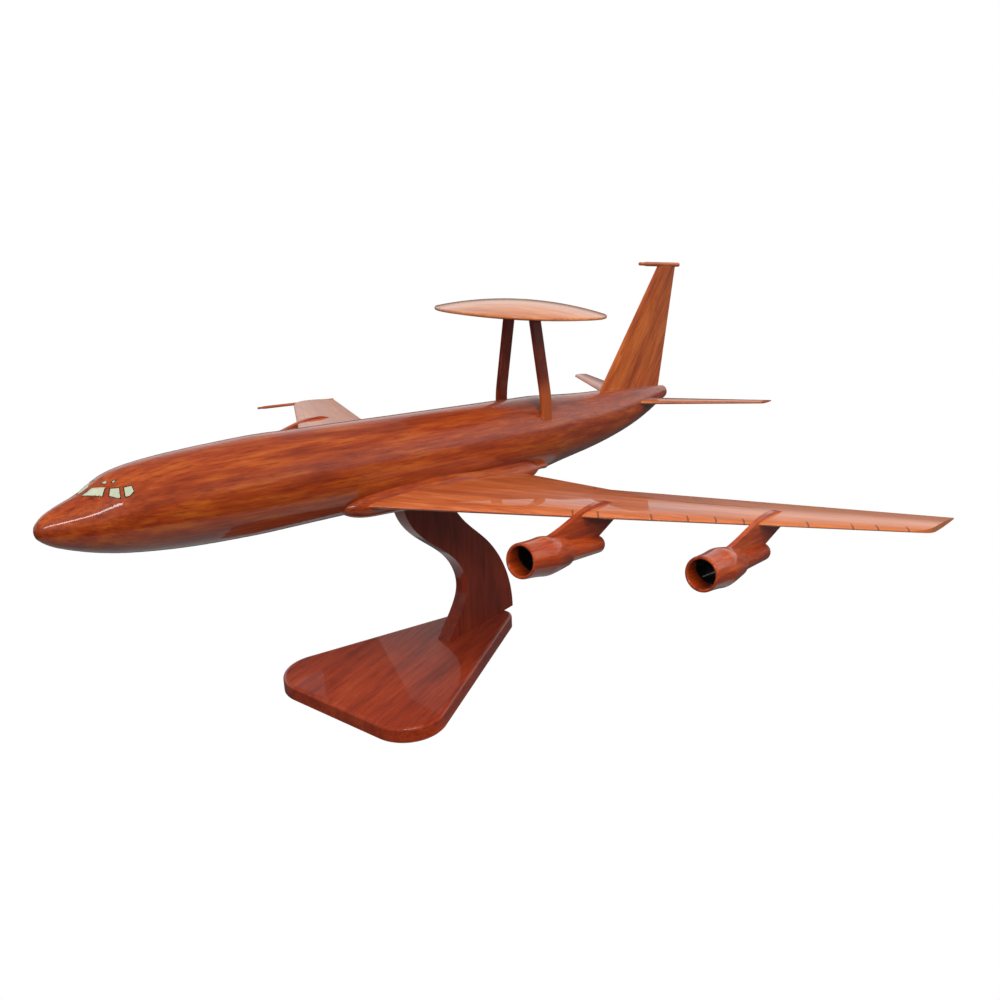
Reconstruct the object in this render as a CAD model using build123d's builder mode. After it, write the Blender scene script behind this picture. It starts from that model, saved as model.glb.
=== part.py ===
from build123d import *

import os
from math import cos, radians, sin, sqrt

# Desk model of a four-engined radar airliner, carved in wood, on a curved neck and a wedge base.
#
# The aircraft is drawn level in its own datum: X to its left wing, Y aft from the nose tip, Z up
# from the axis of the body tube. AIRCRAFT_ON_STAND then tilts it nose-up about the point above the
# neck, and at the end row_place puts the whole model on its base: +Z up, the underside of the base
# at Z = 0, the nose towards -Y. All sizes are in millimetres, about 1:100 of the real aircraft.

# ---------------------------------------------------------------- driving dimensions
# Body
BODY_LENGTH = 441.0
BODY_HALF_WIDTH = 19.5
BODY_HALF_HEIGHT = 21.5
NOSE_LENGTH = 112.0         # the tapering nose ends this far aft
TAIL_LENGTH = 153.0         # the tapering tail starts this far ahead of the tail end
TUBE_STEP = 25.0            # spacing of the stations along the even tube between them
PANE_DEPTH = 0.6
PANE_CORNER = 0.35
PANE_SEARCH = 2.5           # a pane's outline is cut this far either side of its own plane

# Wings
WING_HALF_SPAN = 219.5
WING_ROOT_LE_Y = 131.0      # leading edge, carried in to the centre plane
WING_SWEEP = 0.815          # the leading edge runs aft by this much per millimetre of span
WING_ROOT_CHORD = 117.7     # where the wing enters the body
WING_KINK_X = 76.0
WING_KINK_CHORD = 70.1
WING_TIP_CHORD = 37.6
WING_DROP = 14.0            # below the axis of the body
WING_ROOT_THICKNESS = 7.0
WING_TIP_THICKNESS = 3.0
WING_TENON = 10.5           # let in to the body this far
TIP_CORNER_LENGTH = 17.0    # rounded front corner of the wing tip
TIP_CORNER_WIDTH = 9.0
TIP_ROD_LENGTH = 69.0
TIP_ROD_RADIUS = 1.0
TIP_ROD_SET_IN = 1.0        # its rear end stops this far ahead of the trailing edge
FAIRING_CORE = 7.5          # the root fairing's ovals start this far inside the body's side

# Engines: distance out, intake ahead of the leading edge, axis below the wing, nose-up angle
INNER_ENGINE = (94.0, 42.6, 12.4, 4.0)
OUTER_ENGINE = (157.0, 49.5, 13.0, 2.0)
NACELLE_LENGTH = 62.0
COWL_LENGTH = 33.0
COWL_RADIUS = 8.6
COWL_REAR_RADIUS = 6.9
COWL_SHOULDER = 1.5         # rounding at either end of the cowl
COWL_STEP = 1.2             # the cowl steps down to the core over this length
INTAKE_RADIUS = 8.0
INTAKE_BORE_RADIUS = 6.4
INTAKE_BORE_DEPTH = 17.0
INTAKE_FLARE = 2.0
CORE_FRONT_RADIUS = 5.4
CORE_REAR_RADIUS = 4.2
CORE_END_ROUND = 1.8
PYLON_THICKNESS = 2.5
PYLON_NOSE = 4.0            # starts this far behind the intake lip
PYLON_SHOULDER = 8.0        # its top edge rises past the wing this far either side of the leading edge
PYLON_CREST = 27.0          # its top edge comes down to the wing this far behind the leading edge
PYLON_FOOT = 15.0           # and is let in to the wing for this much further
PYLON_OVER_WING = 0.7
PYLON_TAIL = 6.0            # its lower edge stops this far short of the core's end

# Tail surfaces
TAILPLANE_HALF_SPAN = 71.4
TAILPLANE_LE_AHEAD = 52.0   # leading edge on the centre plane, ahead of the tail end
TAILPLANE_SWEEP = 0.722
TAILPLANE_ROOT_CHORD = 36.0
TAILPLANE_TIP_CHORD = 15.45
TAILPLANE_ROOT_Z = 9.3
TAILPLANE_TIP_Z = 14.5
TAILPLANE_ROOT_THICKNESS = 3.6
TAILPLANE_TIP_THICKNESS = 1.8
TAILPLANE_TENON_X = 3.0
TAILPLANE_CORNER_WIDTH = 3.0
TAILPLANE_CORNER_LENGTH = 4.0
FIN_ROOT_AHEAD = (77.3, 6.6)    # leading and trailing edge at the foot, ahead of the tail end
FIN_TIP_AHEAD = (19.3, -2.3)    # the same at the top
FIN_ROOT_Z = 18.0
FIN_TIP_Z = 95.0
FIN_ROOT_THICKNESS = 4.6
FIN_TIP_THICKNESS = 2.6
FIN_TENON = 7.0
FIN_ROD_AHEAD = (42.0, -6.5)    # front and rear end, ahead of the tail end
FIN_ROD_RADIUS = 1.4
FIN_ROD_SEAT = 0.4          # the fin stops this far below the rod's axis

# Disc on its struts
DISC_AHEAD = 161.3          # centre of the disc, ahead of the tail end
DISC_RIM_Z = 69.0
DISC_RADIUS = 46.3
DISC_CROWN = 6.6
DISC_BELLY = 3.6
DISC_RIM = 1.6
HUB_RADIUS = 13.0
HUB_THICKNESS = 3.0
HUB_GAP = 0.3
DISC_PIN_RADIUS = 2.0
DISC_PIN_FIT = 0.05
DISC_PIN_TOP = 3.2          # the pin stops this far above the rim plane
DISC_PIN_CHAMFER = 0.4
STRUT_TOP_X = 8.6
STRUT_FOOT_INSET = 3.8      # inside the body's half width
STRUT_CHORD = 8.5
STRUT_THICKNESS = 2.4
STRUT_ROUND = 0.8
STRUT_BEND_Z = 30.0         # straight down to here, then bent upright
STRUT_BEND_SHARE = 0.82     # of the way out when the bend starts
STRUT_BEND_HEIGHT = 13.0
STRUT_FOOT_Z = 9.0
STRUT_BEHIND_DISC = 1.3
STRUT_LEAN = 7.0

# Stand
NOSE_UP = 7.8
PIVOT_Y = 230.0             # station of the body that stays level with STAND_HEIGHT
STAND_HEIGHT = 113.7        # body axis above the desk at that station
BASE_THICKNESS = 8.5
BASE_LENGTH = 131.0
BASE_REAR_Y = 262.0
BASE_FRONT_HALF = 59.0
BASE_REAR_HALF = 9.6
BASE_FRONT_RADIUS = 20.0
BASE_REAR_RADIUS = 7.0
BASE_EDGE_ROUND = 2.0
BASE_FOOT_CHAMFER = 0.8
NECK_THICKNESS = 8.0
NECK_SEAT_GAP = 0.3
PEG_RADIUS = 2.0
PEG_FIT = 0.05
PEG_Y = 201.0
PEG_IN_BODY = 14.0
PEG_END_GAP = 0.5
PEG_IN_NECK = 16.0
PEG_CHAMFER = 0.5
SCREW_RADIUS = 1.75
SCREW_HEAD_RADIUS = 3.6
SCREW_HEAD_HEIGHT = 2.2
SCREW_LENGTH = 28.0
SCREW_RECESS = 0.6
SCREW_SLOT = 0.8
SCREW_SPACING = 20.0
SCREW_REAR_EDGE = 6.0       # rear screw, ahead of the rear end of the base

# Outline of the nose: distance from its tip as a share of NOSE_LENGTH, then its top and bottom
# line as shares of the half height.
NOSE_STATIONS = (
    (0.00045, -0.1023, -0.1581),
    (0.00446, -0.0419, -0.2186),
    (0.01339, 0.0279, -0.2837),
    (0.02857, 0.0977, -0.3442),
    (0.05804, 0.186, -0.4326),
    (0.11161, 0.2977, -0.5395),
    (0.17857, 0.4326, -0.6465),
    (0.21429, 0.5395, -0.693),
    (0.25446, 0.6512, -0.7395),
    (0.32143, 0.7581, -0.8),
    (0.41071, 0.8326, -0.8605),
    (0.55357, 0.9023, -0.9302),
    (0.75893, 0.9674, -0.9814),
    (0.91071, 1, -1),
)
# The same for the tail: distance ahead of its end as a share of TAIL_LENGTH.
TAIL_STATIONS = (
    (0.9477, 1, -0.9814),
    (0.8431, 0.9674, -0.893),
    (0.6601, 0.907, -0.7395),
    (0.4641, 0.8837, -0.5302),
    (0.2353, 0.8651, -0.1581),
    (0.0719, 0.8093, 0.2233),
    (0, 0.7721, 0.3907),
)

# Wing root fairing: distance behind the wing's leading edge on the centre plane, height above the
# wing, half height, and how far it stands out beyond the body's half width.
ROOT_FAIRING_STATIONS = (
    (6.5, -0.8, 1.2, -5.5),
    (8.0, -0.7, 3.0, -3.1),
    (12.0, -0.6, 5.0, -0.7),
    (21.0, -0.4, 6.8, 1.3),
    (44.0, -0.2, 8.0, 2.8),
    (84.0, -0.4, 7.6, 3.1),
    (119.0, -0.6, 6.0, 2.9),
    (144.0, -0.4, 4.2, 1.7),
    (156.0, -0.2, 2.6, -0.5),
)

# Cockpit panes on the left side, by their corners on the body: shares of the half width, of
# NOSE_LENGTH and of the half height.
COCKPIT_PANES = {
    "windscreen": (
        (0.0462, 0.1946, 0.493),
        (0.2872, 0.2268, 0.5256),
        (0.3744, 0.2054, 0.3767),
        (0.0462, 0.1571, 0.3674),
    ),
    "side_window": (
        (0.3436, 0.2321, 0.5163),
        (0.441, 0.2616, 0.5256),
        (0.5795, 0.2509, 0.3488),
        (0.5436, 0.2402, 0.3488),
        (0.4256, 0.2188, 0.386),
    ),
    "quarter_window": (
        (0.4718, 0.2696, 0.5302),
        (0.4974, 0.3, 0.5395),
        (0.5949, 0.2991, 0.4372),
        (0.6154, 0.2812, 0.3721),
        (0.6051, 0.2607, 0.3581),
    ),
    "eyebrow_window_front": (
        (0.0974, 0.2196, 0.5581),
        (0.1333, 0.2339, 0.6),
        (0.2103, 0.2411, 0.6047),
        (0.2359, 0.2321, 0.5628),
    ),
    "eyebrow_window_rear": (
        (0.2667, 0.2429, 0.586),
        (0.2462, 0.2571, 0.6279),
        (0.2872, 0.2679, 0.6326),
        (0.3282, 0.2536, 0.5907),
    ),
}

# Outlines of the flat-board neck, from its foot up: station, and share of the height from the top of
# the base to the axis of the body.
NECK_FRONT = (
    (212.0, 0.0),
    (224.0, 0.135),
    (229.0, 0.233),
    (225.5, 0.373),
    (208.0, 0.544),
    (190.0, 0.705),
    (184.0, 0.879),
)
NECK_REAR = (
    (268.3, 0.0),
    (266.8, 0.128),
    (260.0, 0.296),
    (247.6, 0.457),
    (227.0, 0.648),
    (219.0, 0.775),
    (217.0, 0.879),
)

# ---------------------------------------------------------------- helpers
AIRCRAFT_ON_STAND = (
    Location((0, PIVOT_Y, STAND_HEIGHT))
    * Location((0, 0, 0), (-NOSE_UP, 0, 0))
    * Location((0, -PIVOT_Y, 0))
)
CUT_DEPTH = 30.0            # cutters reach this far to either side of what they cut

nodes = {}


def keep(builder, label):
    """Label one finished piece and hold it for writing."""
    builder.part.label = label
    nodes[label] = builder.part


def keep_pair(builder, name):
    """Keep a left-hand piece and its mirror image."""
    with BuildPart() as right_hand:
        mirror(builder.part, about=Plane.YZ, mode=Mode.ADD)
    keep(builder, f"{name}_left")
    keep(right_hand, f"{name}_right")


def between(start, end, share):
    return start + (end - start) * share


def body_section(y, top, bottom, inset=0.0):
    """Oval cross-section of the body at station y."""
    half_height = (top - bottom) / 2
    half_width = half_height * BODY_HALF_WIDTH / BODY_HALF_HEIGHT
    section_plane = Plane((0, y, (top + bottom) / 2), x_dir=(1, 0, 0), z_dir=(0, 1, 0))
    with BuildSketch(section_plane) as section:
        Ellipse(half_width - inset, half_height - inset)
    return section.sketch


def body_stations():
    """Every station of the body: distance from the nose tip, top line and bottom line."""
    tail_start = BODY_LENGTH - TAIL_LENGTH
    tube_steps = max(1, round((tail_start - NOSE_LENGTH) / TUBE_STEP))
    stations = [
        *[(NOSE_LENGTH * along, top, bottom) for along, top, bottom in NOSE_STATIONS],
        *[(between(NOSE_LENGTH, tail_start, step / tube_steps), 1, -1) for step in range(tube_steps + 1)],
        *[(BODY_LENGTH - TAIL_LENGTH * ahead, top, bottom) for ahead, top, bottom in TAIL_STATIONS],
    ]
    return [(y, top * BODY_HALF_HEIGHT, bottom * BODY_HALF_HEIGHT) for y, top, bottom in stations]


def body_solid(inset=0.0):
    """The carved body, or the same shape one skin thickness smaller."""
    with BuildPart() as body:
        loft([body_section(*station, inset) for station in body_stations() if station[0] >= 2 * inset])
    return body.part


def foil_section(plane, front, chord, thickness):
    """Rounded leading edge, fattest a third of the way back, thin blunt trailing edge."""
    rear = front + chord
    fattest = between(front, rear, 0.35)
    half, edge = thickness / 2, max(0.35, thickness * 0.1)
    easing = between(fattest, rear, 0.4)
    with BuildSketch(plane) as section:
        with BuildLine():
            EllipticalCenterArc((fattest, 0), fattest - front, half, start_angle=90, arc_size=180)
            Bezier((fattest, -half), (easing, -half), (rear, -edge))
            Line((rear, -edge), (rear, edge))
            Bezier((rear, edge), (easing, half), (fattest, half))
        make_face()
    return section.sketch


def side_plane(x, z=0.0):
    """Plane facing outboard at x, with local X aft and local Y up."""
    return Plane((x, 0, z), x_dir=(0, 1, 0), z_dir=(1, 0, 0))


def tip_corner_cutter(half_span, corner_y, sweep, width, length):
    """What is carved away to round the front corner of a swept tip."""
    start = (half_span - width, corner_y - sweep * width)
    end = (half_span, corner_y + length)
    outside, ahead = half_span + CUT_DEPTH, start[1] - CUT_DEPTH
    with BuildPart() as cutter:
        with BuildSketch():
            with BuildLine():
                Spline(start, end, tangents=((1, sweep), (0, 1)))
                Polyline(end, (outside, end[1]), (outside, ahead), (start[0], ahead), start)
            make_face()
        extrude(amount=CUT_DEPTH, both=True)
    return cutter.part


# ---------------------------------------------------------------- wings
body_blank = body_solid()
wing_z = -WING_DROP


def wing_leading_edge(x):
    return WING_ROOT_LE_Y + WING_SWEEP * x


def wing_thickness(x):
    return between(WING_ROOT_THICKNESS, WING_TIP_THICKNESS, x / WING_HALF_SPAN)


with BuildPart() as wing_board:
    wing_stations = (
        (BODY_HALF_WIDTH - WING_TENON, WING_ROOT_CHORD),
        (WING_KINK_X, WING_KINK_CHORD),
        (WING_HALF_SPAN, WING_TIP_CHORD),
    )
    loft(
        [
            foil_section(side_plane(x, wing_z), wing_leading_edge(x), chord, wing_thickness(x))
            for x, chord in wing_stations
        ],
        ruled=True,
    )
    add(
        tip_corner_cutter(
            WING_HALF_SPAN,
            wing_leading_edge(WING_HALF_SPAN),
            WING_SWEEP,
            TIP_CORNER_WIDTH,
            TIP_CORNER_LENGTH - TIP_CORNER_WIDTH * WING_SWEEP,
        ),
        mode=Mode.SUBTRACT,
    )

# ---------------------------------------------------------------- engines and pylons
def engine_datum(x, ahead, below, pitch):
    """Centre of the intake and the direction aft along the engine."""
    intake = Vector(x, wing_leading_edge(x) - ahead, wing_z - below)
    return intake, Vector(0, cos(radians(pitch)), -sin(radians(pitch)))


def nacelle_envelope(intake, aft):
    """Turned engine body: fat cowl, shoulder, slimmer core with a rounded end."""
    turning_plane = Plane(intake, x_dir=aft, z_dir=(1, 0, 0))
    lip = (INTAKE_RADIUS - INTAKE_BORE_RADIUS) / 2
    cowl_end = (COWL_LENGTH - COWL_SHOULDER, COWL_REAR_RADIUS)
    core_start = (COWL_LENGTH + COWL_STEP, CORE_FRONT_RADIUS)
    core_end = (NACELLE_LENGTH - CORE_END_ROUND, CORE_REAR_RADIUS)
    core_tip = (NACELLE_LENGTH, CORE_REAR_RADIUS - CORE_END_ROUND)
    with BuildPart() as envelope:
        with BuildSketch(turning_plane):
            with BuildLine():
                Line((0, 0), (0, INTAKE_RADIUS - lip))
                Spline(
                    (0, INTAKE_RADIUS - lip),
                    (COWL_SHOULDER, INTAKE_RADIUS),
                    (COWL_LENGTH * 0.4, COWL_RADIUS),
                    cowl_end,
                    tangents=((0, 1), (1, -0.16)),
                )
                Spline(
                    cowl_end,
                    (COWL_LENGTH, between(COWL_REAR_RADIUS, CORE_FRONT_RADIUS, 2 / 3)),
                    core_start,
                    tangents=((1, -0.16), (1, 0)),
                )
                Line(core_start, core_end)
                Spline(core_end, core_tip, tangents=((1, -0.04), (0, -1)))
                Polyline(core_tip, (NACELLE_LENGTH, 0), (0, 0))
            make_face()
        revolve(axis=Axis(intake, aft))
    return envelope.part


def intake_bore(intake, aft):
    """The straight bore, flared at its mouth to a rounded lip."""
    mouth = (0, (INTAKE_RADIUS + INTAKE_BORE_RADIUS) / 2)
    throat = (INTAKE_FLARE, INTAKE_BORE_RADIUS)
    with BuildPart() as bore:
        with BuildSketch(Plane(intake, x_dir=aft, z_dir=(1, 0, 0))):
            with BuildLine():
                Polyline(throat, (INTAKE_BORE_DEPTH, throat[1]), (INTAKE_BORE_DEPTH, 0), (0, 0), mouth)
                Spline(mouth, throat, tangents=((0.15, -1), (1, 0)))
            make_face()
        revolve(axis=Axis(intake, aft))
    return bore.part


pylons = {}
for position, engine in (("inner", INNER_ENGINE), ("outer", OUTER_ENGINE)):
    intake, aft = engine_datum(*engine)
    leading_edge = wing_leading_edge(intake.X)
    wing_top = wing_z + wing_thickness(intake.X) / 2
    core_end = intake + aft * (NACELLE_LENGTH - PYLON_TAIL)
    nose_top = (intake.Y + PYLON_NOSE, intake.Z + INTAKE_RADIUS - 0.6)
    crest_end = (leading_edge + PYLON_CREST, wing_top - 0.3)
    with BuildPart() as nacelle:
        add(nacelle_envelope(intake, aft))
        add(intake_bore(intake, aft), mode=Mode.SUBTRACT)
    with BuildPart() as pylon:
        with BuildSketch(side_plane(intake.X)):
            with BuildLine():
                Spline(
                    nose_top,
                    (leading_edge - PYLON_SHOULDER, wing_z - 1.2),
                    (leading_edge + PYLON_SHOULDER, wing_top + PYLON_OVER_WING),
                    crest_end,
                )
                Polyline(
                    crest_end,
                    (crest_end[0] + PYLON_FOOT, wing_z),
                    (core_end.Y, core_end.Z + CORE_REAR_RADIUS / 2),
                    (nose_top[0], intake.Z),
                    nose_top,
                )
            make_face()
        extrude(amount=PYLON_THICKNESS / 2, both=True)
        add(nacelle_envelope(intake, aft), mode=Mode.SUBTRACT)
    pylons[position] = pylon.part
    keep_pair(nacelle, f"nacelle_{position}")
    keep_pair(pylon, f"pylon_{position}")

with BuildPart() as wing:
    add(wing_board.part)
    for pylon_board in pylons.values():
        add(pylon_board, mode=Mode.SUBTRACT)

# ---------------------------------------------------------------- tail surfaces
def tailplane_leading_edge(x):
    return BODY_LENGTH - TAILPLANE_LE_AHEAD + TAILPLANE_SWEEP * x


def tailplane_section(x):
    share = x / TAILPLANE_HALF_SPAN
    height = between(TAILPLANE_ROOT_Z, TAILPLANE_TIP_Z, share)
    chord = between(TAILPLANE_ROOT_CHORD, TAILPLANE_TIP_CHORD, share)
    thickness = between(TAILPLANE_ROOT_THICKNESS, TAILPLANE_TIP_THICKNESS, share)
    return foil_section(side_plane(x, height), tailplane_leading_edge(x), chord, thickness)


with BuildPart() as tailplane:
    loft([tailplane_section(TAILPLANE_TENON_X), tailplane_section(TAILPLANE_HALF_SPAN)], ruled=True)
    add(
        tip_corner_cutter(
            TAILPLANE_HALF_SPAN,
            tailplane_leading_edge(TAILPLANE_HALF_SPAN),
            TAILPLANE_SWEEP,
            TAILPLANE_CORNER_WIDTH,
            TAILPLANE_CORNER_LENGTH,
        ),
        mode=Mode.SUBTRACT,
    )


def fin_section(height):
    """Fin section at a height, on the straight lines from root to tip."""
    share = (height - FIN_ROOT_Z) / (FIN_TIP_Z - FIN_ROOT_Z)
    front, rear = [BODY_LENGTH - between(*ends, share) for ends in zip(FIN_ROOT_AHEAD, FIN_TIP_AHEAD)]
    thickness = between(FIN_ROOT_THICKNESS, FIN_TIP_THICKNESS, share)
    level_plane = Plane((0, 0, height), x_dir=(0, 1, 0), z_dir=(0, 0, 1))
    return foil_section(level_plane, front, rear - front, thickness)


def rod(front, length, radius):
    """Slim turned rod, lying fore and aft, with a tapered and rounded front end."""
    blunt, full = (0, radius * 0.3), (radius * 7, radius)
    with BuildPart() as turned:
        with BuildSketch(Plane(front, x_dir=(0, 1, 0), z_dir=(1, 0, 0))):
            with BuildLine():
                Line((0, 0), blunt)
                Spline(blunt, (radius * 1.5, radius * 0.75), full, tangents=((0.2, 1), (1, 0)))
                Polyline(full, (length, radius), (length, 0), (0, 0))
            make_face()
        revolve(axis=Axis(front, (0, 1, 0)))
    return turned.part


fin_rod_z = FIN_TIP_Z + FIN_ROD_RADIUS / 2
fin_rod_front, fin_rod_rear = [BODY_LENGTH - ahead for ahead in FIN_ROD_AHEAD]
fin_rod_solid = rod((0, fin_rod_front, fin_rod_z), fin_rod_rear - fin_rod_front, FIN_ROD_RADIUS)
with BuildPart() as fin:
    loft([fin_section(FIN_ROOT_Z - FIN_TENON), fin_section(fin_rod_z - FIN_ROD_SEAT)], ruled=True)
    add(fin_rod_solid, mode=Mode.SUBTRACT)

with BuildPart() as fin_rod:
    add(fin_rod_solid)
keep(fin, "fin")
keep(fin_rod, "fin_tip_rod")

# Rod along the right wing tip.
tip_rod_rear = wing_leading_edge(WING_HALF_SPAN) + WING_TIP_CHORD - TIP_ROD_SET_IN
tip_rod_front = (TIP_ROD_RADIUS - WING_HALF_SPAN, tip_rod_rear - TIP_ROD_LENGTH, wing_z)
with BuildPart() as tip_rod:
    add(rod(tip_rod_front, TIP_ROD_LENGTH, TIP_ROD_RADIUS))
keep(tip_rod, "wing_tip_rod")

# ---------------------------------------------------------------- wing root fairings
def fairing_section(aft, above, half_height, beyond):
    core = (BODY_HALF_WIDTH - FAIRING_CORE, WING_ROOT_LE_Y + aft, wing_z + above)
    with BuildSketch(Plane(core, x_dir=(1, 0, 0), z_dir=(0, 1, 0))) as section:
        Ellipse(FAIRING_CORE + beyond, half_height)
    return section.sketch


with BuildPart() as root_fairing:
    loft([fairing_section(*station) for station in ROOT_FAIRING_STATIONS])
    add(body_blank, mode=Mode.SUBTRACT)
    add(wing_board.part, mode=Mode.SUBTRACT)
keep_pair(root_fairing, "wing_root_fairing")
keep_pair(tailplane, "tailplane")

with BuildPart() as right_wing:
    mirror(wing.part, about=Plane.YZ)
    add(tip_rod.part, mode=Mode.SUBTRACT)
keep(wing, "wing_left")
keep(right_wing, "wing_right")

# ---------------------------------------------------------------- disc on its struts
disc_y = BODY_LENGTH - DISC_AHEAD
hub_bottom = DISC_RIM_Z - DISC_BELLY
disc_axis = Axis((0, disc_y, 0), (0, 0, 1))


def cap_height(rise, reach):
    """Height above the rim of a spherical cap, part of the way out from its middle."""
    sphere = (DISC_RADIUS**2 + rise**2) / (2 * rise)
    return rise - sphere + sqrt(sphere**2 - (DISC_RADIUS * reach) ** 2)


with BuildPart() as disc:
    with BuildSketch(Plane((0, disc_y, 0), x_dir=(1, 0, 0), z_dir=(0, -1, 0))):
        with BuildLine():
            crown_rise = DISC_CROWN - DISC_RIM / 2
            belly_rise = DISC_BELLY - DISC_RIM / 2
            rim_top = DISC_RIM_Z + DISC_RIM / 2
            rim_bottom = DISC_RIM_Z - DISC_RIM / 2
            Line((0, rim_bottom - belly_rise), (0, rim_top + crown_rise))
            ThreePointArc(
                (0, rim_top + crown_rise),
                (DISC_RADIUS * 0.6, rim_top + cap_height(crown_rise, 0.6)),
                (DISC_RADIUS, rim_top),
            )
            ThreePointArc(
                (DISC_RADIUS, rim_top),
                (DISC_RADIUS + DISC_RIM / 4, DISC_RIM_Z),
                (DISC_RADIUS, rim_bottom),
            )
            ThreePointArc(
                (DISC_RADIUS, rim_bottom),
                (DISC_RADIUS * 0.6, rim_bottom - cap_height(belly_rise, 0.6)),
                (0, rim_bottom - belly_rise),
            )
        make_face()
    revolve(axis=disc_axis)
    with BuildSketch(Plane((0, disc_y, hub_bottom - 1))):
        Circle(HUB_RADIUS + HUB_GAP)
    extrude(amount=HUB_THICKNESS + HUB_GAP + 1, mode=Mode.SUBTRACT)
    with BuildSketch(Plane((0, disc_y, hub_bottom))):
        Circle(DISC_PIN_RADIUS + DISC_PIN_FIT)
    extrude(amount=DISC_BELLY + DISC_PIN_TOP + HUB_GAP, mode=Mode.SUBTRACT)
keep(disc, "radar_disc")

with BuildPart() as disc_pin:
    with BuildSketch(Plane((0, disc_y, hub_bottom))):
        Circle(DISC_PIN_RADIUS)
    extrude(amount=DISC_BELLY + DISC_PIN_TOP)
    chamfer(disc_pin.edges().sort_by(Axis.Z)[-1], DISC_PIN_CHAMFER)
keep(disc_pin, "disc_pin")

strut_foot_x = BODY_HALF_WIDTH - STRUT_FOOT_INSET
strut_top = (0, disc_y + STRUT_BEHIND_DISC, hub_bottom)
strut_plane = Plane(strut_top, x_dir=(1, 0, 0), z_dir=(0, -1, 0)).rotated((STRUT_LEAN, 0, 0))
with BuildPart() as strut:
    with BuildSketch(strut_plane):
        with BuildLine():
            foot_drop = STRUT_FOOT_Z - hub_bottom
            bend_drop = STRUT_BEND_Z - hub_bottom
            straight = Line(
                (STRUT_TOP_X, HUB_THICKNESS / 2),
                (between(STRUT_TOP_X, strut_foot_x, STRUT_BEND_SHARE), bend_drop),
            )
            bend = Spline(
                straight @ 1,
                (strut_foot_x, bend_drop - STRUT_BEND_HEIGHT),
                tangents=(straight % 1, (0, -1)),
            )
            Line(bend @ 1, (strut_foot_x, foot_drop))
        trace(line_width=STRUT_THICKNESS)
    extrude(amount=STRUT_CHORD / 2, both=True)
    fillet(strut.edges().filter_by(GeomType.LINE).sort_by(SortBy.LENGTH)[-4:], STRUT_ROUND)
    split(bisect_by=Plane((0, 0, hub_bottom + HUB_THICKNESS / 2)), keep=Keep.BOTTOM)

with BuildPart() as hub:
    with BuildSketch(Plane((0, disc_y, hub_bottom))):
        Circle(HUB_RADIUS)
    extrude(amount=HUB_THICKNESS)
    add(disc_pin.part, mode=Mode.SUBTRACT)
    add(strut.part, mode=Mode.SUBTRACT)
    add(mirror(strut.part, about=Plane.YZ, mode=Mode.PRIVATE), mode=Mode.SUBTRACT)
keep(hub, "disc_hub")

# ---------------------------------------------------------------- cockpit panes
body_core = body_solid(PANE_DEPTH)
for name, corners in COCKPIT_PANES.items():
    corner_points = [
        Vector(x * BODY_HALF_WIDTH, y * NOSE_LENGTH, z * BODY_HALF_HEIGHT) for x, y, z in corners
    ]
    middle = sum(corner_points, Vector()) / len(corner_points)
    facing = (corner_points[2] - corner_points[0]).cross(corner_points[-1] - corner_points[1])
    if facing.dot(middle - Vector(0, NOSE_LENGTH, 0)) < 0:
        facing = -facing
    pane_plane = Plane(middle, x_dir=corner_points[1] - corner_points[0], z_dir=facing)
    outline = [pane_plane.to_local_coords(point) for point in corner_points]
    with BuildPart() as pane:
        add(body_blank)
        with BuildSketch(pane_plane):
            with BuildLine():
                Polyline(*[(point.X, point.Y) for point in outline], close=True)
            make_face()
            fillet(vertices(), PANE_CORNER)
        extrude(amount=PANE_SEARCH, both=True, mode=Mode.INTERSECT)
        add(body_core, mode=Mode.SUBTRACT)
    keep_pair(pane, name)

# ---------------------------------------------------------------- body
with BuildPart() as fuselage_level:
    add(body_blank)
    for label, piece in nodes.items():
        if "window" in label or "windscreen" in label:
            add(piece, mode=Mode.SUBTRACT)
    for piece in (wing_board.part, tailplane.part, strut.part):
        add(piece, mode=Mode.SUBTRACT)
        add(mirror(piece, about=Plane.YZ, mode=Mode.PRIVATE), mode=Mode.SUBTRACT)
    add(fin.part, mode=Mode.SUBTRACT)
keep_pair(strut, "disc_strut")

# The aircraft goes on to its stand here: every piece so far is tilted and lifted.
aircraft = {label: piece.moved(AIRCRAFT_ON_STAND) for label, piece in nodes.items()}
body_on_stand = fuselage_level.part.moved(AIRCRAFT_ON_STAND)

# ---------------------------------------------------------------- stand
belly_point = AIRCRAFT_ON_STAND * Location((0, PEG_Y, -BODY_HALF_HEIGHT))
seat = belly_point.position
peg_bottom = seat.Z - PEG_IN_NECK
peg_top = seat.Z + PEG_IN_BODY

with BuildPart() as fuselage:
    add(body_on_stand)
    with BuildSketch(Plane((0, seat.Y, seat.Z - BODY_HALF_HEIGHT))):
        Circle(PEG_RADIUS + PEG_FIT)
    extrude(amount=BODY_HALF_HEIGHT + PEG_IN_BODY + PEG_END_GAP, mode=Mode.SUBTRACT)

with BuildPart() as peg:
    with BuildSketch(Plane((0, seat.Y, peg_bottom))):
        Circle(PEG_RADIUS)
    extrude(amount=peg_top - peg_bottom)
    chamfer(peg.edges().sort_by(Axis.Z)[-1], PEG_CHAMFER)

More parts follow.
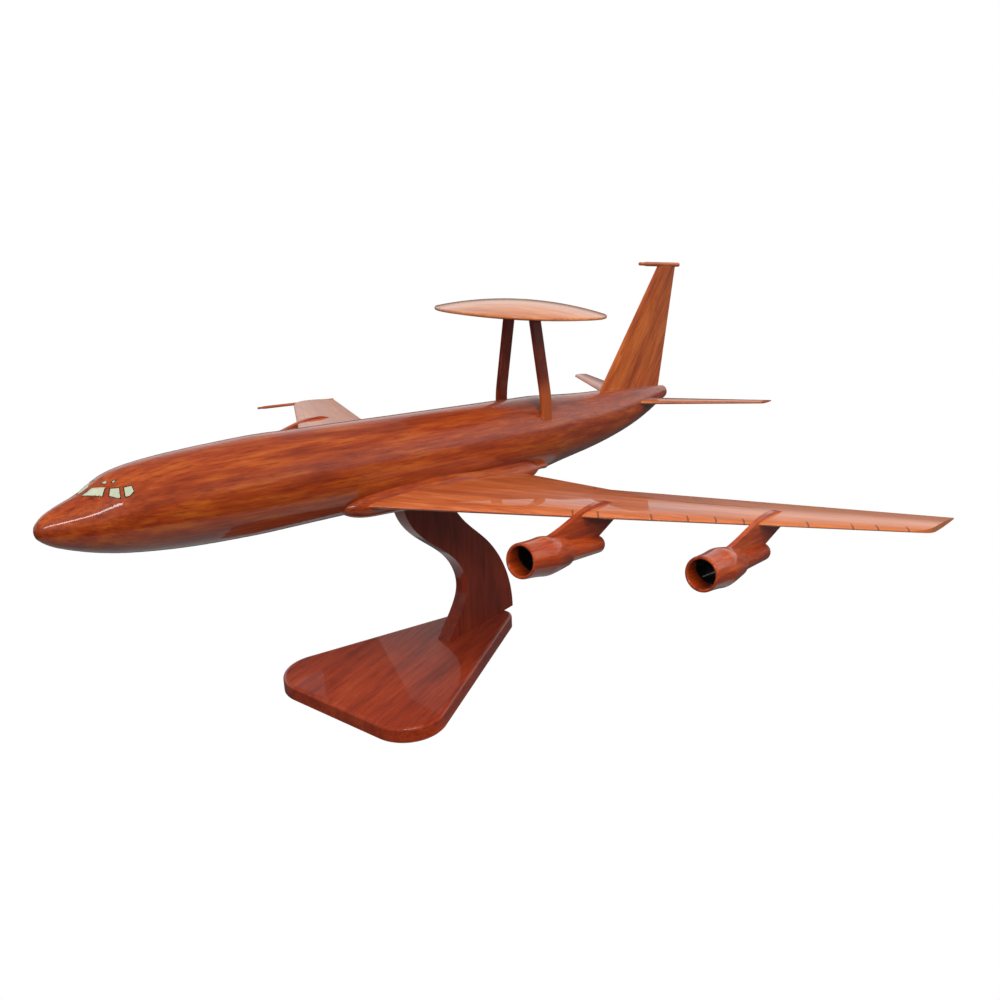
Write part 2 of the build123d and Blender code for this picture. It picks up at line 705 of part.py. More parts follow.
rear_screw_y = BASE_REAR_Y - SCREW_REAR_EDGE
screw_stations = (rear_screw_y - SCREW_SPACING, rear_screw_y)
with BuildPart() as screws:
    for station in screw_stations:
        with BuildSketch(Plane((0, station, SCREW_RECESS), x_dir=(1, 0, 0), z_dir=(0, -1, 0))):
            with BuildLine():
                Polyline(
                    (0, 0),
                    (SCREW_HEAD_RADIUS, 0),
                    (SCREW_RADIUS, SCREW_HEAD_HEIGHT),
                    (SCREW_RADIUS, SCREW_LENGTH - 2 * SCREW_RADIUS),
                    (0, SCREW_LENGTH),
                    close=True,
                )
            make_face()
        revolve(axis=Axis((0, station, 0), (0, 0, 1)))
screw_holes = screws.part
with BuildPart() as base_screws:
    add(screw_holes)
    with BuildSketch(Plane((0, 0, SCREW_RECESS))):
        with Locations(*[(0, station) for station in screw_stations]):
            Rectangle(2 * SCREW_HEAD_RADIUS, SCREW_SLOT)
    extrude(amount=SCREW_SLOT, mode=Mode.SUBTRACT)



def neck_outline(points):
    return [(y, between(BASE_THICKNESS, STAND_HEIGHT, share)) for y, share in points]


with BuildPart() as neck:
    with BuildSketch(side_plane(0)):
        with BuildLine():
            front_edge = Spline(*neck_outline(NECK_FRONT))
            rear_edge = Spline(*neck_outline(NECK_REAR))
            Line(front_edge @ 0, rear_edge @ 0)
            Line(front_edge @ 1, rear_edge @ 1)
        make_face()
    extrude(amount=NECK_THICKNESS / 2, both=True)
    add(body_on_stand.moved(Location((0, 0, -NECK_SEAT_GAP))), mode=Mode.SUBTRACT)
    add(peg.part, mode=Mode.SUBTRACT)
    add(screw_holes, mode=Mode.SUBTRACT)

base_front_y = BASE_REAR_Y - BASE_LENGTH
with BuildPart() as base:
    with BuildSketch():
        with BuildLine():
            Polyline(
                (-BASE_FRONT_HALF, base_front_y),
                (BASE_FRONT_HALF, base_front_y),
                (BASE_REAR_HALF, BASE_REAR_Y),
                (-BASE_REAR_HALF, BASE_REAR_Y),
                close=True,
            )
        make_face()
        fillet(vertices().group_by(Axis.Y)[0], BASE_FRONT_RADIUS)
        fillet(vertices().group_by(Axis.Y)[-1], BASE_REAR_RADIUS)
    extrude(amount=BASE_THICKNESS)
    fillet(base.faces().sort_by(Axis.Z)[-1].edges(), BASE_EDGE_ROUND)
    chamfer(base.faces().sort_by(Axis.Z)[0].edges(), BASE_FOOT_CHAMFER)
    add(screw_holes, mode=Mode.SUBTRACT)
    with BuildSketch():
        with Locations(*[(0, station) for station in screw_stations]):
            Circle(SCREW_HEAD_RADIUS)
    extrude(amount=SCREW_RECESS, mode=Mode.SUBTRACT)

# ---------------------------------------------------------------- row frame and files
pieces = {"fuselage": fuselage.part, **aircraft}
pieces |= {"stand_neck": neck.part, "stand_base": base.part}
pieces |= {"stand_peg": peg.part, "base_screws": base_screws.part}
whole = Compound(children=[piece.moved(Location()) for piece in pieces.values()]).bounding_box()
row_place = Location((0, -whole.center().Y, -whole.min.Z))

os.makedirs("parts", exist_ok=True)
for label, piece in pieces.items():
    placed = piece.moved(row_place)
    placed.label = label
    export_step(placed, f"parts/{label}.step")

disc_middle = row_place * AIRCRAFT_ON_STAND * Location((0, disc_y, DISC_RIM_Z))
print("row size", whole.size)
print("disc axis through", disc_middle.position, "tilt", NOSE_UP)
print("peg axis through", (row_place * Location(seat)).position)
print("base centre", (row_place * Location((0, (base_front_y + BASE_REAR_Y) / 2, 0))).position)
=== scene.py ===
# %% [markdown]
# # A carved airliner for the desk
#
# The real object is a display model cut from mahogany, sanded smooth and finished with many coats
# of clear lacquer. Its frame comes from the CAD part, so nothing here moves or resizes a piece.
# This lesson gives every piece its wood, its gloss and its small painted details.

# %% Load the fixed frame
from math import atan, atan2, cos, radians, sin

import bmesh
import bpy
from mathutils import Euler, Matrix, Vector


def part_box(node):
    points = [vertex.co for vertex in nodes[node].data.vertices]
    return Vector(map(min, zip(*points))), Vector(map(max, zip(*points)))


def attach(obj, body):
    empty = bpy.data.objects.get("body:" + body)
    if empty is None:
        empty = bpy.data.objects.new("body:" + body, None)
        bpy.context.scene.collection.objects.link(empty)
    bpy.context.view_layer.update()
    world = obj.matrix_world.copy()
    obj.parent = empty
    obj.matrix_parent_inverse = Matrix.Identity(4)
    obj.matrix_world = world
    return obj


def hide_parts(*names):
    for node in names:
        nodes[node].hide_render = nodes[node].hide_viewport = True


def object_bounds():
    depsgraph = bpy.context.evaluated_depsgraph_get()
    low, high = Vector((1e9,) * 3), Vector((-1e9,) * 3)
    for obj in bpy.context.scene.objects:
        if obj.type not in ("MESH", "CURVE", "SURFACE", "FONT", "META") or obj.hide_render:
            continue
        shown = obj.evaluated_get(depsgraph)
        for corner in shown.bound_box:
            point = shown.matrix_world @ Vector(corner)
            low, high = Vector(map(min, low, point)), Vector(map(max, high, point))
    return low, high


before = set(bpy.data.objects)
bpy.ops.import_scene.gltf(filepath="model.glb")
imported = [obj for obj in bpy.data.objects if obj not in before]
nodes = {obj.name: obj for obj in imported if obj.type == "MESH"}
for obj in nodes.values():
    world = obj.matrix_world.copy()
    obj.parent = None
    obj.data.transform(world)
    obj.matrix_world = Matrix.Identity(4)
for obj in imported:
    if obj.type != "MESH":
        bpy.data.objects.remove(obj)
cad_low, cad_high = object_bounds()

MM = 0.001
print(len(nodes), "pieces in a box of", [round(side / MM) for side in cad_high - cad_low], "mm")

# %% [markdown]
# ## The camera
#
# A product camera is set by four things: from which side it looks, from how high, how far away it
# stands, and how long its lens is. Here it stands off the nose on the left-wing side, a little
# above the model, and it is tipped by two degrees, as a camera held in the hand is.

# %% Camera
CAMERA_AZIMUTH = 39.43
CAMERA_ELEVATION = 19.95
CAMERA_ROLL = -2.15
CAMERA_DISTANCE = 0.5913
AIM_FROM_MIDDLE = Vector((0, 0.0321, -0.0174))
LENS_MM = 38.28
SHIFT = (0.0032, -0.0021)

azimuth, elevation = radians(CAMERA_AZIMUTH), radians(CAMERA_ELEVATION)
towards_camera = Vector((sin(azimuth) * cos(elevation), -cos(azimuth) * cos(elevation), sin(elevation)))
camera_data = bpy.data.cameras.new("camera")
camera_data.lens = LENS_MM
camera_data.sensor_width = 36
camera_data.shift_x, camera_data.shift_y = SHIFT
camera = bpy.data.objects.new("camera", camera_data)
bpy.context.scene.collection.objects.link(camera)
camera.location = (cad_low + cad_high) / 2 + AIM_FROM_MIDDLE + towards_camera * CAMERA_DISTANCE
level_view = (-towards_camera).to_track_quat("-Z", "Y").to_matrix()
camera.rotation_euler = (level_view @ Matrix.Rotation(radians(CAMERA_ROLL), 3, "Z")).to_euler()
bpy.context.scene.camera = camera
print("camera at", [round(x, 3) for x in camera.location])

# %% [markdown]
# ## Writing shaders as sums
#
# A node tree is easier to read as arithmetic. `Value` wraps one output socket and turns `+`, `*`
# and the other signs into Math nodes. `Shader.node` makes any other node from its type, its
# settings and what goes into its sockets.

# %% A small language for shaders
class Value:
    """One output of a node, usable in Python arithmetic."""

    def __init__(self, shader, socket):
        self.shader, self.socket = shader, socket

    def math(self, operation, *others):
        """A Math node on this value and the others."""
        return self.shader.node("ShaderNodeMath", {"operation": operation}, dict(enumerate((self, *others))))

    def __add__(self, other):
        return self.math("ADD", other)

    def __sub__(self, other):
        return self.math("SUBTRACT", other)

    def __rsub__(self, other):
        return self * -1 + other

    def __mul__(self, other):
        return self.math("MULTIPLY", other)

    def __abs__(self):
        return self.math("ABSOLUTE")

    __radd__, __rmul__ = __add__, __mul__

    def step(self, low, high):
        """0 below low, 1 above high and smooth between; low may be the larger of the two."""
        limits = {"Value": self, "From Min": low, "From Max": high}
        return self.shader.node("ShaderNodeMapRange", {"interpolation_type": "SMOOTHSTEP"}, limits)

    def band(self, middle, half_width, soft):
        """1 within half_width of middle, 0 outside."""
        return abs(self - middle).step(half_width + soft, half_width)


class Shader:
    """A material, or the world, and the nodes in it."""

    def __init__(self, owner):
        owner.use_nodes = True
        self.owner, self.tree = owner, owner.node_tree
        self.tree.nodes.clear()

    def node(self, kind, settings=None, inputs=None, output=0):
        """Any node, from its type, its settings and the values or links of its sockets."""
        made = self.tree.nodes.new(kind)
        for name, value in (settings or {}).items():
            if name == "stops":
                fill_ramp(made.color_ramp, value)
            else:
                setattr(made, name, value)
        for name, value in (inputs or {}).items():
            if isinstance(value, Value):
                self.tree.links.new(value.socket, made.inputs[name])
            else:
                made.inputs[name].default_value = value
        return Value(self, made.outputs[output]) if made.outputs else None

    def mix(self, share, first, second):
        """Mix two colours."""
        return self.node("ShaderNodeMix", {"data_type": "RGBA"}, {0: share, 6: first, 7: second}, output=2)

    def noise(self, vector, scale, detail=2.0, rough=0.5):
        """Soft random clouds, from 0 to 1 and mostly near the middle."""
        sockets = {"Vector": vector, "Scale": scale, "Detail": detail, "Roughness": rough}
        return self.node("ShaderNodeTexNoise", {}, sockets)

    def place(self, vector, turn=(0, 0, 0), stretch=(1, 1, 1), shift=(0, 0, 0)):
        """Stretch a vector, then turn it by degrees, then shift it."""
        angles = [radians(angle) for angle in turn]
        sockets = {"Vector": vector, "Rotation": angles, "Scale": stretch, "Location": shift}
        return self.node("ShaderNodeMapping", {"vector_type": "POINT"}, sockets)

    def parts(self, vector):
        """The X, Y and Z of a vector."""
        split = self.node("ShaderNodeSeparateXYZ", {}, {"Vector": vector})
        return [Value(self, socket) for socket in split.socket.node.outputs]


def fill_ramp(ramp, stops):
    """Give a colour ramp its places and colours."""
    while len(ramp.elements) < len(stops):
        ramp.elements.new(1)
    for element, (position, color) in zip(ramp.elements, stops):
        element.position, element.color = position, color


print("shader helpers ready")

# %% [markdown]
# ## A studio made of sky
#
# The model stands in a white void, so the studio is only a sky. What the camera sees, what lights
# the wood and what the lacquer mirrors are three separate skies, told apart by the kind of ray.
# The one that lights the wood is bright above and dim below, which darkens the undersides. The one
# that the lacquer mirrors has a pale band low behind the model, for the sheen on the wings and the
# disc, and is dark on the camera's side, so that the red of the timber stays deep. Straight below
# it has a pale table, which shows as a grey band along the lower side of the glossy body.

# %% Sky
LIGHT_BY_HEIGHT = [(0.0, 0.05), (0.42, 0.12), (0.55, 0.40), (0.80, 0.85), (1.0, 1.10)]
DARK_BELOW = [(0.0, 0.06), (0.30, 0.08), (0.49, 0.12)]
PALE_BAND = [(0.56, 0.85), (0.66, 0.58)]
DARK_ABOVE = [(0.76, 0.14), (1.0, 0.06)]
TABLE_EDGE = (0.20, 0.17)
TABLE_GLOW = 0.28
CAMERA_SIDE = (-0.4, 0.5)
CAMERA_SIDE_MIRROR = 0.15

world = bpy.context.scene.world or bpy.data.worlds.new("studio")
bpy.context.scene.world = world
sky = Shader(world)
direction = sky.node("ShaderNodeTexCoord", output=0)
height = sky.parts(direction)[2] * 0.5 + 0.5
away = Vector((-towards_camera.x, -towards_camera.y, 0)).normalized()
behind = sky.node("ShaderNodeVectorMath", {"operation": "DOT_PRODUCT"}, {0: direction, 1: away}, output=1)
path = sky.node("ShaderNodeLightPath")
seen, mirrored = [Value(sky, path.socket.node.outputs[name]) for name in ("Is Camera Ray", "Is Glossy Ray")]


def by_height(levels):
    """Brightness of the sky from straight down, 0, to straight up, 1."""
    stops = [(place, (level, level, level, 1)) for place, level in levels]
    return sky.node("ShaderNodeValToRGB", {"stops": stops}, {"Fac": height})


facing = behind.step(*CAMERA_SIDE) * (1 - CAMERA_SIDE_MIRROR) + CAMERA_SIDE_MIRROR
around = by_height(DARK_BELOW + PALE_BAND + DARK_ABOVE) * facing
in_lacquer = around + height.step(*TABLE_EDGE) * TABLE_GLOW
strength = by_height(LIGHT_BY_HEIGHT) * (1 - mirrored) + in_lacquer * mirrored
strength = strength * (1 - seen) + seen
background = sky.node("ShaderNodeBackground", {}, {"Color": (1, 1, 1, 1), "Strength": strength})
sky.node("ShaderNodeOutputWorld", {}, {"Surface": background})
print("sky of", len(sky.tree.nodes), "nodes")

# %% [markdown]
# ## Two lamps
#
# The key lamp is large and soft, and lights the left side from above. It is hidden from mirrored
# rays, or it would show as a pale square in the lacquer. The window lamp does the opposite job. It is
# long, narrow and weak, and its mirror image is the bright streak that a glossy nose shows.

# %% Lamps
WINDOW_FROM_NOSE = Vector((0.66, -0.37, 0.52))
WINDOW_SIZE = (0.78, 0.08)
WINDOW_WATTS = 2.4
KEY_PLACE = (1.00, -0.30, 1.55)
KEY_TARGET = (0, 0, 0.1)
KEY_SIZE = (0.8, 0.8)
KEY_WATTS = 18
WARM_WHITE = (1, 0.97, 0.93)


def panel_light(name, place, target, size, watts, color=(1, 1, 1)):
    """A flat rectangular lamp at place, facing target."""
    data = bpy.data.lights.new(name, "AREA")
    data.shape, data.size, data.size_y = "RECTANGLE", *size
    data.energy, data.color = watts, color
    lamp = bpy.data.objects.new(name, data)
    bpy.context.scene.collection.objects.link(lamp)
    lamp.location = place
    lamp.rotation_euler = (Vector(target) - Vector(place)).to_track_quat("-Z", "Y").to_euler()
    return lamp


nose_tip = Vector((0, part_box("fuselage")[0].y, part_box("windscreen_left")[0].z))
panel_light("window", nose_tip + WINDOW_FROM_NOSE, nose_tip, WINDOW_SIZE, WINDOW_WATTS)
key = panel_light("key", KEY_PLACE, KEY_TARGET, KEY_SIZE, KEY_WATTS, WARM_WHITE)
key.visible_glossy = False
bpy.context.scene.view_settings.view_transform = "Standard"

# %% [markdown]
# ## The wood
#
# Mahogany is read at four scales: broad ribbons that shift between orange and brown, a finer
# figure within them, fibres about a millimetre wide, and short dark pores. All four are long along
# the grain and narrow across it, so one coordinate, with X along the grain, serves them all. Clear
# lacquer lies over the colour as a coat.

# %% Lacquered mahogany
NOSE_UP = 7.8
CLEAR = {"Coat Weight": 1.0, "Coat Roughness": 0.035, "Coat IOR": 1.5, "IOR": 1.45}
# The wing and disc tones are lighter in part as a painted sheen, for the light their tops reflect. The neck
# and strut tones are darker in part as painted shade, from the wing and the disc above them.
TONES = {
    "body": ((0.13, 0.009, 0.001), (0.32, 0.040, 0.002), (0.54, 0.125, 0.008)),
    "wing": ((0.27, 0.044, 0.009), (0.52, 0.112, 0.026), (0.74, 0.245, 0.078)),
    "disc": ((0.42, 0.110, 0.036), (0.68, 0.235, 0.085), (0.84, 0.380, 0.165)),
    "fin": ((0.20, 0.026, 0.004), (0.50, 0.100, 0.014), (0.74, 0.215, 0.038)),
    "base": ((0.150, 0.011, 0.002), (0.330, 0.034, 0.006), (0.46, 0.064, 0.013)),
    "neck": ((0.120, 0.009, 0.002), (0.270, 0.026, 0.005), (0.40, 0.050, 0.010)),
    "strut": ((0.090, 0.008, 0.002), (0.220, 0.023, 0.004), (0.42, 0.070, 0.011)),
    "engine": ((0.13, 0.010, 0.002), (0.38, 0.044, 0.005), (0.60, 0.110, 0.015)),
}
GRAIN_SCALES = {
    "ribbons": ((0.009, 0.07, 0.07), 3.0, 0.6),
    "figure": ((0.035, 0.30, 0.30), 3.0, 0.6),
    "fibres": ((0.05, 1.0, 1.0), 2.0, 0.5),
    "pores": ((0.10, 1.1, 1.1), 2.0, 0.6),
}
TONE_PLACES = (0.22, 0.50, 0.80)
PORE_EDGE = (0.55, 0.68)
PORE_SHARE = 0.45


def grain_vector(shader, turn, mirrored=False, seed=0.0):
    """Object coordinates in millimetres, with X along the grain."""
    coords = shader.node("ShaderNodeTexCoord", output=3)
    side = -1000 if mirrored else 1000
    return shader.place(shader.place(coords, stretch=(side, 1000, 1000)), turn=turn, shift=(seed, seed, 0))


def wood(shader, grain, tones):
    """Colour, and height for the bump, of mahogany along a grain vector in millimetres."""
    ribbons, figure, fibres, pores = [
        shader.noise(shader.place(grain, stretch=stretch), 1.0, detail, rough)
        for stretch, detail, rough in GRAIN_SCALES.values()
    ]
    tone = ribbons * 0.65 + figure * 0.60 + fibres * 0.35 - 0.30
    stops = [(place, (*tone_color, 1)) for place, tone_color in zip(TONE_PLACES, tones)]
    color = shader.node("ShaderNodeValToRGB", {"stops": stops}, {"Fac": tone})
    pore = pores.step(*PORE_EDGE)
    color = shader.mix(pore * PORE_SHARE, color, (*tones[0], 1))
    return color, fibres * 0.35 - pore


def finish(shader, color, height, roughness=0.45, bump=0.04):
    """Clear lacquer over the coloured wood."""
    settings = {"Height": height, "Strength": bump, "Distance": 0.2 * MM}
    normal = shader.node("ShaderNodeBump", {}, settings)
    sockets = {"Base Color": color, "Roughness": roughness, "Normal": normal, **CLEAR}
    bsdf = shader.node("ShaderNodeBsdfPrincipled", {}, sockets)
    shader.node("ShaderNodeOutputMaterial", {}, {"Surface": bsdf})
    return shader.owner


def plain_wood(name, tones, turn, mirrored=False, seed=0.0):
    """Lacquered wood of one kind, with its grain turned by degrees."""
    shader = Shader(bpy.data.materials.new(name))
    color, height = wood(shader, grain_vector(shader, turn, mirrored, seed), TONES[tones])
    return finish(shader, color, height)


def dress(material, *names):
    """Give CAD nodes their finish."""
    for name in names:
        nodes[name].material_slots[0].material = material


print("tones for", ", ".join(TONES))

# %% [markdown]
# ## Dressing the pieces
#
# Each piece is turned so that its grain runs the way the carver laid the board: along the body, out
# along the tailplanes, up the fin and the neck. A right-hand piece mirrors its left-hand twin and
# then shifts the pattern, so that no two boards show the same figure. The struts are dark wood, partly
# as painted shade from the disc above, and the lower third of the left strut is lighter, a painted
# light where it comes out of that shade.

# %% Grain directions
ALONG_BODY = (NOSE_UP, 0, -90)
ALONG_TAILPLANE = (NOSE_UP, 0, -28)
UP_THE_FIN = (NOSE_UP - 53, 0, -90)
UP_THE_STRUT = (NOSE_UP - 90, 0, -90)
UP_THE_NECK = (-90, 0, -90)
ACROSS_DISC = (NOSE_UP, 0, -25)
ALONG_BASE = (0, 0, -100)
TWIN_SHIFT = 40.0
LIT_FOOT_FADE = (8, -4)
LIT_FOOT_SHARE = 0.8


def strut_wood_and_painted_light(side, mirrored):
    """Dark wood, partly painted shade; the lower third of the left strut is lighter, a painted light."""
    shader = Shader(bpy.data.materials.new(f"strut_wood_and_painted_light_{side}"))
    color, bump = wood(shader, grain_vector(shader, UP_THE_STRUT, mirrored, 20), TONES["strut"])
    if side == "left":
        low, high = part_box(f"disc_strut_{side}")
        third = (low.z + (high.z - low.z) / 3) / MM
        # painted light: the left strut's lower third is made lighter, below the disc's shade
        up = shader.parts(grain_vector(shader, (0, 0, 0)))[2]
        lit_foot = up.step(*[third + reach for reach in LIT_FOOT_FADE]) * LIT_FOOT_SHARE
        color = shader.mix(lit_foot, color, (*TONES["fin"][1], 1))
    return finish(shader, color, bump)


dress(plain_wood("body_wood", "body", ALONG_BODY), "fuselage")
for side in ("left", "right"):
    mirrored = side == "right"
    seed = TWIN_SHIFT if mirrored else 0.0
    fairing_wood = plain_wood(f"fairing_wood_{side}", "body", ALONG_BODY, mirrored, 90 + seed)
    dress(fairing_wood, f"wing_root_fairing_{side}")
    tailplane_wood = plain_wood(f"tailplane_wood_{side}", "wing", ALONG_TAILPLANE, mirrored, 10 + seed)
    dress(tailplane_wood, f"tailplane_{side}")
    dress(strut_wood_and_painted_light(side, mirrored), f"disc_strut_{side}")
dress(plain_wood("tip_rod_wood", "wing", ALONG_BODY), "wing_tip_rod")
dress(plain_wood("fin_wood", "fin", UP_THE_FIN), "fin")
dress(plain_wood("fin_rod_wood", "fin", ALONG_BODY), "fin_tip_rod")
# the disc wood's tone carries a painted sheen, and the neck wood's tone a painted shade
dress(plain_wood("disc_wood_and_sheen", "disc", ACROSS_DISC, seed=130), "radar_disc", "disc_hub")
dress(plain_wood("neck_wood_and_shade", "neck", UP_THE_NECK), "stand_neck")
dress(plain_wood("base_wood", "base", ALONG_BASE, seed=70), "stand_base")
print("dressed", len(bpy.data.materials), "materials")

# %% [markdown]
# ## Scribed wings
#
# The maker scored short lines across the leading and the trailing edge, where the real aircraft
# has its slats and flaps, and darkened them. They are far too fine to model as cuts, so the wing's
# wood carries them as thin dark grooves with a bump. Both edges are found from the CAD mesh, so
# the marks stay on them. Towards the tip the wood is mixed to its lightest tone, a painted sheen of
# reflected light.

# %% Wing wood with scribed lines
FRONT_MARKS = (92, 101, 120, 133, 143, 153, 176, 192, 201, 212)
REAR_MARKS = (104, 115, 130, 142, 168, 190)
SPAN_SWEEP = 32
GRAIN_SHIFT = {"left": (50, 0, 0), "right": (50, 160, 0)}
MARK_LENGTH = 4.0
MARK_END_SOFT = 0.6
MARK_HALF_WIDTH = 0.22
MARK_SOFT = 0.2
MARK_SHARE = 0.65
MARK_DEPTH = 3
MARK_COLOR = (0.07, 0.018, 0.008, 1)
SLAT_LINE_BEHIND_MARKS = 1.0
SLAT_LINE_HALF_WIDTH = 0.12
SLAT_LINE_SHARE = 0.45
ROOT_STRIP = (-1, 30)
KINK_STRIP = (70, 82)
OUTER_STRIP = (190, 205)
TIP_STRIP = (200, 1000)
SHEEN_FADE = (60, 210)
SHEEN_SHARE = 0.45
LEVEL = Euler((radians(NOSE_UP), 0, 0)).to_matrix()


def wing_wood_and_sheen(side):
    """Wood along the span, with score marks from both edges and a painted sheen towards the tip."""
    mirrored = side == "right"
    corners = [LEVEL @ vertex.co / MM for vertex in nodes[f"wing_{side}"].data.vertices]
    points = [Vector((abs(p.x), p.y, p.z)) for p in corners]

    def edge(pick, strip):
        """The foremost (min) or rearmost (max) point of the wing within a strip of its span."""
        return pick((p for p in points if strip[0] < p.x < strip[1]), key=lambda p: p.y)

    root, outer = edge(min, ROOT_STRIP), edge(min, OUTER_STRIP)
    sweep = atan2(outer.y - root.y, outer.x - root.x)
    shader = Shader(bpy.data.materials.new(f"wing_wood_and_sheen_{side}"))
    level = grain_vector(shader, (NOSE_UP, 0, 0), mirrored)
    span, aft, _ = shader.parts(level)
    grain = shader.place(level, turn=(0, 0, -SPAN_SWEEP), shift=GRAIN_SHIFT[side])
    color, height = wood(shader, grain, TONES["wing"])
    behind_front = (aft - root.y) * cos(sweep) - (span - root.x) * sin(sweep)
    tip_rear, kink_rear = edge(max, TIP_STRIP), edge(max, KINK_STRIP)
    rear_slope = (tip_rear.y - kink_rear.y) / (tip_rear.x - kink_rear.x)
    before_rear = ((span - kink_rear.x) * rear_slope + kink_rear.y - aft) * cos(atan(rear_slope))
    along = span + behind_front * sin(sweep)
    marks = None
    for places, inwards in ((FRONT_MARKS, behind_front), (REAR_MARKS, before_rear)):
        for place in places:
            line = along.band(place, MARK_HALF_WIDTH, MARK_SOFT)
            mark = line * inwards.step(MARK_LENGTH + MARK_END_SOFT, MARK_LENGTH)
            marks = mark if marks is None else marks.math("MAXIMUM", mark)
    slat_place = MARK_LENGTH + SLAT_LINE_BEHIND_MARKS
    slat_line = behind_front.band(slat_place, SLAT_LINE_HALF_WIDTH, MARK_SOFT) * SLAT_LINE_SHARE
    marks = marks.math("MAXIMUM", slat_line)
    # painted sheen: the wing is mixed towards its lightest tone out towards the tip
    sheen_color = (*TONES["wing"][2], 1)
    color = shader.mix(span.step(*SHEEN_FADE) * SHEEN_SHARE, color, sheen_color)
    color = shader.mix(marks * MARK_SHARE, color, MARK_COLOR)
    return finish(shader, color, height - marks * MARK_DEPTH)


for side in ("left", "right"):
    dress(wing_wood_and_sheen(side), f"wing_{side}")
print("wings scribed with", len(FRONT_MARKS) + len(REAR_MARKS), "marks each")

# %% [markdown]
# ## Engines
#
# Each engine is turned from one piece and drilled from the front. The bottom of the bore is
# painted black, so that it reads as a dark intake, and the mouth of the drilled wall keeps its wood
# colour. The black is laid by depth behind the lip and distance from the engine's own axis, and it
# reaches further forward at the top, a painted shade where the lip shades the upper wall.

# %% Engine wood with a black bore
PAINT_DEPTH = 6.5
SHADE_SLANT = 0.55
PAINT_FADE = 1.2
PAINT_BLACK = (0.004, 0.004, 0.005, 1)
LIP_DEPTH = 1.0
BORE_RADIUS = 6.4
BORE_DEPTH = 17.0
PITCH = {"inner": 4.0, "outer": 2.0}
PYLON_SHIFT = 33


def engine_wood(position, side):
    """Wood along the engine's own axis, painted black deep in the bore and painted shade at its top."""
    name = f"nacelle_{position}_{side}"
    tilt = NOSE_UP + PITCH[position]
    level = Euler((radians(tilt), 0, 0)).to_matrix()
    points = [level @ vertex.co / MM for vertex in nodes[name].data.vertices]
    lip_y = min(p.y for p in points)
    lip = [p for p in points if p.y < lip_y + LIP_DEPTH]
    middle = sum(lip, Vector()) / len(lip)
    shader = Shader(bpy.data.materials.new(f"{name}_wood"))
    grain = grain_vector(shader, (tilt, 0, 0))
    across, depth, up = shader.parts(grain)
    along = shader.place(grain, turn=(0, 0, -90), shift=(middle.x, 0, 0))
    color, height = wood(shader, along, TONES["engine"])
    sideways, upwards = across - middle.x, up - middle.z
    radius = (sideways * sideways + upwards * upwards).math("SQRT")
    inside = radius.step(BORE_RADIUS + 0.6, BORE_RADIUS + 0.3)
    behind_lip = depth - lip_y
    # painted shade: the black reaches further forward on the upper wall of the bore
    shade_front = behind_lip + upwards * SHADE_SLANT
    in_front_of_core = behind_lip.step(BORE_DEPTH + 1, BORE_DEPTH + 0.5)
    painted = shade_front.step(PAINT_DEPTH, PAINT_DEPTH + PAINT_FADE) * in_front_of_core * inside
    color = shader.mix(painted, color, PAINT_BLACK)
    return finish(shader, color, height)


for position in PITCH:
    for side in ("left", "right"):
        dress(engine_wood(position, side), f"nacelle_{position}_{side}")
        pylon = f"pylon_{position}_{side}"
        dress(plain_wood(f"{pylon}_wood", "engine", ALONG_BODY, side == "right", PYLON_SHIFT), pylon)
print("engines painted")

# %% [markdown]
# ## Cockpit panes
#
# The panes are pale inlays outlined with a fine dark line. The line belongs to the pane, so each
# pane is rebuilt from the outer skin of its CAD solid: bmesh insets that skin by the width of the
# line, the rim takes a dark finish, and an extrusion gives the pane its thickness back.

# %% Panes with dark rims
RIM_WIDTH = 0.40
PANE_THICKNESS = 0.55
WELD = 0.002
SKIN_FACES_OUT = 0.35
OUTWARD_RISE = 20


def pane_finish():
    """Pale, faintly clouded inlay."""
    shader = Shader(bpy.data.materials.new("pale_inlay"))
    coords = grain_vector(shader, ALONG_BODY)
    clouds = shader.noise(shader.place(coords, stretch=(0.25, 0.25, 0.25)), 1.0, 3.0, 0.6)
    color = shader.mix(clouds, (0.36, 0.39, 0.27, 1), (0.58, 0.60, 0.45, 1))
    return finish(shader, color, clouds, 0.3, 0.05)


def rim_finish():
    """The dark line around an inlay."""
    shader = Shader(bpy.data.materials.new("dark_rim"))
    coords = grain_vector(shader, ALONG_BODY)
    specks = shader.noise(shader.place(coords, stretch=(0.8, 0.8, 0.8)), 1.0, 2.0)
    color = shader.mix(specks, (0.012, 0.007, 0.005, 1), (0.06, 0.022, 0.012, 1))
    return finish(shader, color, specks, 0.4, 0.05)


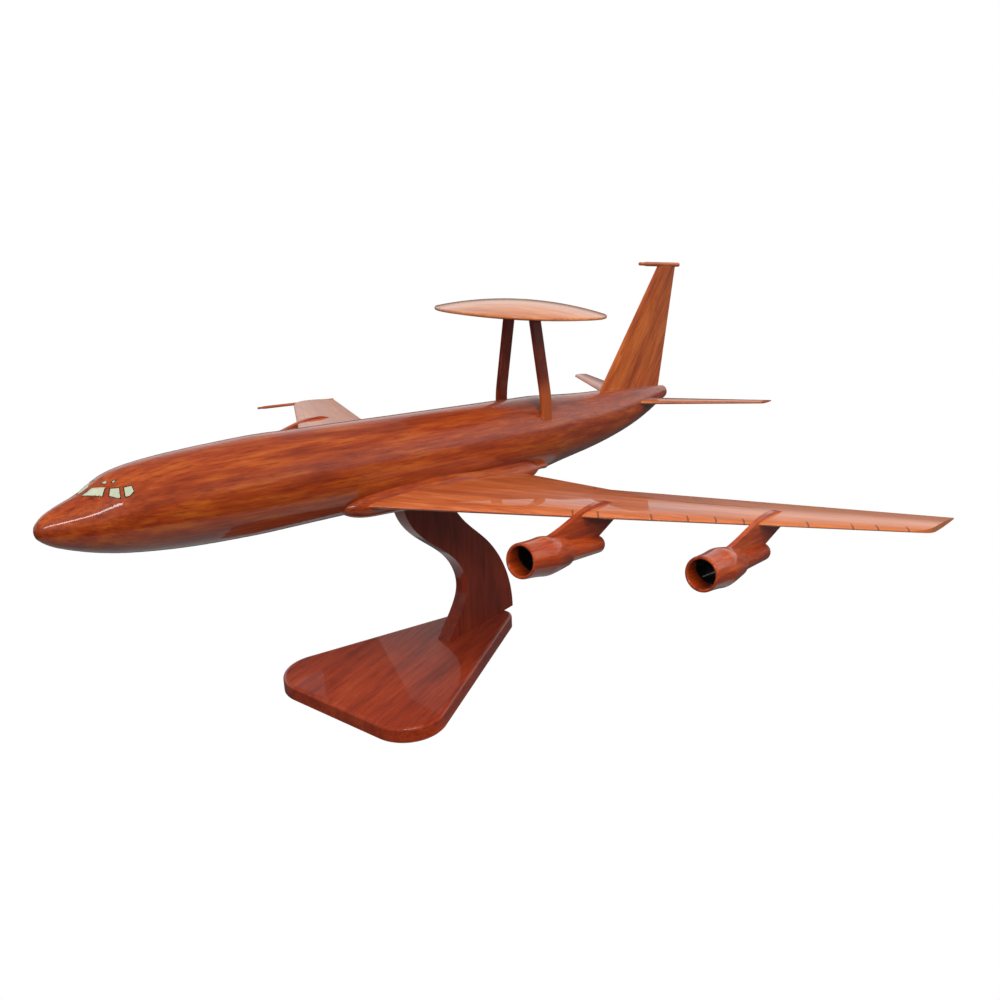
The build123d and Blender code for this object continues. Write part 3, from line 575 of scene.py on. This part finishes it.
def framed_pane(name, inlay, rim):
    """A pane with a dark rim, in the recess that the CAD solid fills."""
    bm = bmesh.new()
    bm.from_mesh(nodes[name].data)
    bmesh.ops.remove_doubles(bm, verts=bm.verts, dist=WELD * MM)
    low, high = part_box(name)
    outwards = Vector(((low + high).x, 0, OUTWARD_RISE * MM)).normalized()
    hidden = [face for face in bm.faces if face.normal.dot(outwards) < SKIN_FACES_OUT]
    bmesh.ops.delete(bm, geom=hidden, context="FACES")
    inset = bmesh.ops.inset_region(bm, faces=bm.faces[:], thickness=RIM_WIDTH * MM, use_boundary=True)
    for face in inset["faces"]:
        face.material_index = 1
    thickened = bmesh.ops.extrude_face_region(bm, geom=bm.faces[:], use_keep_orig=True)["geom"]
    back = [part for part in thickened if isinstance(part, bmesh.types.BMVert)]
    bmesh.ops.translate(bm, verts=back, vec=outwards * -PANE_THICKNESS * MM)
    bmesh.ops.recalc_face_normals(bm, faces=bm.faces[:])
    for face in bm.faces:
        face.smooth = True
    mesh = bpy.data.meshes.new(f"framed_{name}")
    bm.to_mesh(mesh)
    bm.free()
    pane = bpy.data.objects.new(f"framed_{name}", mesh)
    bpy.context.scene.collection.objects.link(pane)
    mesh.materials.append(inlay)
    mesh.materials.append(rim)
    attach(pane, "aircraft")
    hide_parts(name)
    return pane


inlay, rim = pane_finish(), rim_finish()
pane_names = [name for name in nodes if "window" in name or "windscreen" in name]
panes = [framed_pane(name, inlay, rim) for name in pane_names]
print(len(panes), "panes framed, faces:", [len(pane.data.polygons) for pane in panes])

# %% [markdown]
# ## Hidden steel
#
# The peg, the disc's pin and the screws under the base are plain bright steel, turned, so their
# fine marks run around the shaft. A noise squeezed along the shaft gives those rings.

# %% Steel
steel = Shader(bpy.data.materials.new("turned_steel"))
steel_coords = grain_vector(steel, (0, 0, 0))
turning = steel.noise(steel.place(steel_coords, stretch=(0.05, 0.05, 6)), 1.0, 2.0)
steel_color = steel.mix(turning, (0.52, 0.52, 0.51, 1), (0.66, 0.65, 0.63, 1))
steel_normal = steel.node("ShaderNodeBump", {}, {"Height": turning, "Strength": 0.1, "Distance": 0.05 * MM})
steel_inputs = {"Base Color": steel_color, "Metallic": 1.0, "Normal": steel_normal}
steel_inputs["Roughness"] = turning * 0.2 + 0.2
steel_bsdf = steel.node("ShaderNodeBsdfPrincipled", {}, steel_inputs)
steel.node("ShaderNodeOutputMaterial", {}, {"Surface": steel_bsdf})
dress(steel.owner, "stand_peg", "disc_pin", "base_screws")
print("steel on the peg, the pin and the screws")

# %% Compare the two boxes and finish
visual_low, visual_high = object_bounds()
both = zip([*cad_low, *cad_high], [*visual_low, *visual_high])
print("largest difference", max(abs(cad_side - visual_side) for cad_side, visual_side in both))
